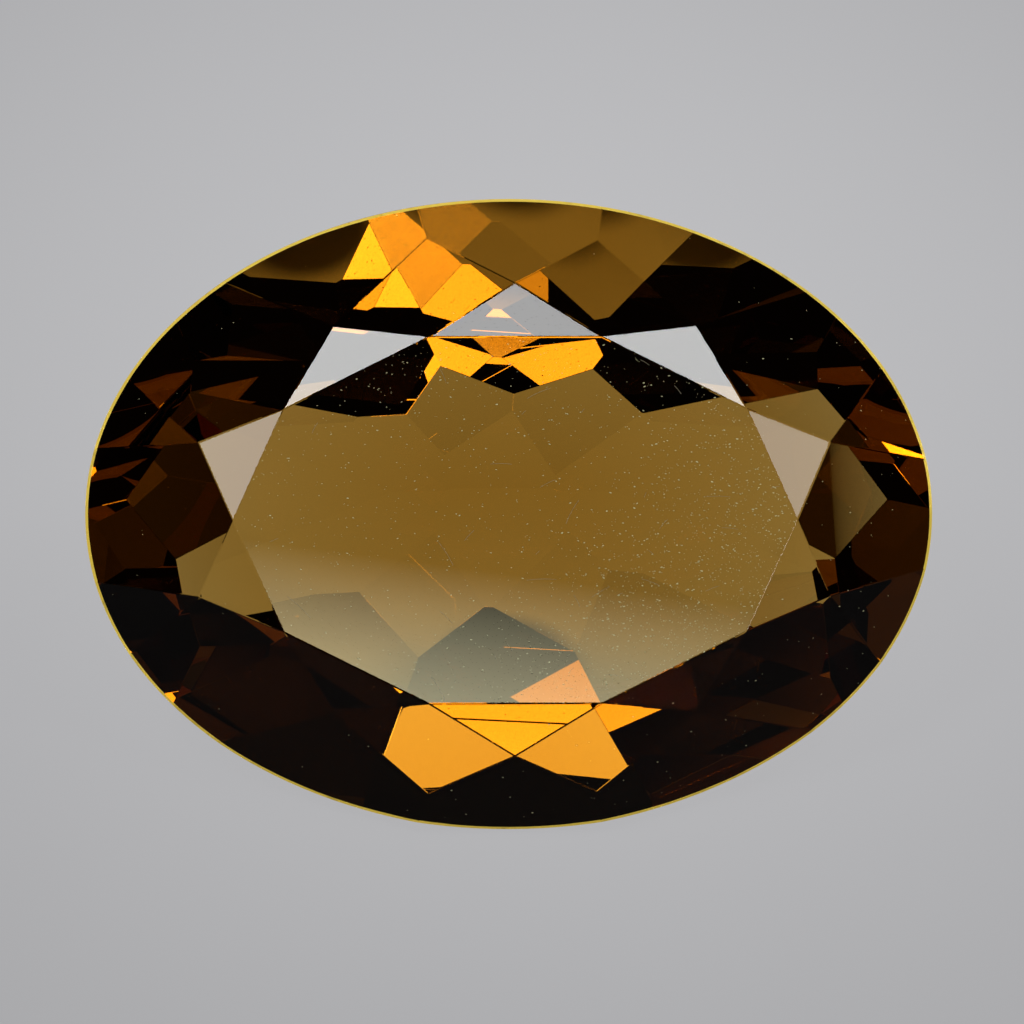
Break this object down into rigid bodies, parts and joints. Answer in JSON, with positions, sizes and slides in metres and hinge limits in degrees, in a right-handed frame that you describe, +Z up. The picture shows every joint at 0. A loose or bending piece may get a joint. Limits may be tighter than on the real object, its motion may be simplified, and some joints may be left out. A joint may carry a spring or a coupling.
{
  "type": "cut smoky quartz gemstone",
  "caption": "Polished smoky quartz cut as an oval faceted gemstone, with a flat table, a low crown, a thin girdle and a deep pavilion.",
  "frame": {"origin": "middle of the bounding box at its base, on the surface that the stone lies on", "axes": "+X along the oval's long side, +Y away from the viewer the table faces, +Z up"},
  "size_m": [0.0162, 0.009, 0.0084],
  "materials": {
    "smoky_quartz": "clear smoky brown, polished flat facets, fine wear on the table"
  },
  "bodies": {
    "root": {"smoky_quartz_oval": "smoky_quartz"}
  },
  "joints": []
}
